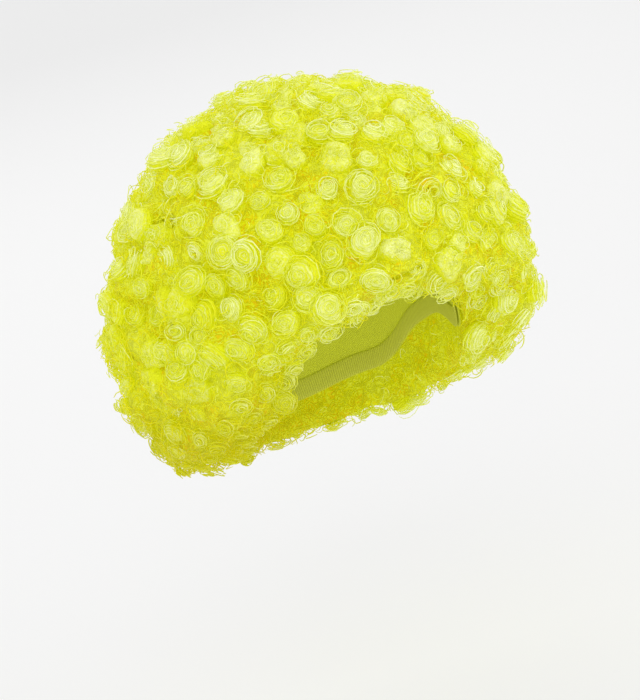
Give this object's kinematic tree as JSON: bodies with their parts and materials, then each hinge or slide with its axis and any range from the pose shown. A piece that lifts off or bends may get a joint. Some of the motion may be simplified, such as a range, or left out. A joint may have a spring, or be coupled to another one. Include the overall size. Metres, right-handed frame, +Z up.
{
  "type": "clown wig",
  "caption": "Big round curly clown wig: rows of bright yellow-green ringlets sewn round a stretch cap, open below for the head, with an elastic edge band.",
  "frame": {"origin": "inside of the cap at the crown, where the wearer's head bears", "axes": "+Z up through the wearer's crown, the wearer faces -Y, +X is the wearer's left"},
  "size_m": [0.2886, 0.2909, 0.245],
  "materials": {
    "curly_fibre": "satin",
    "stretch_knit": "matte",
    "elastic": "matte"
  },
  "bodies": {
    "root": {"cap": "stretch_knit", "edge_band": "elastic", "crown_whorl": "curly_fibre", "curl_row_1": "curly_fibre", "curl_row_2": "curly_fibre", "curl_row_3": "curly_fibre", "curl_row_4": "curly_fibre", "curl_row_5": "curly_fibre", "curl_row_6": "curly_fibre", "curl_row_7": "curly_fibre"}
  },
  "joints": []
}
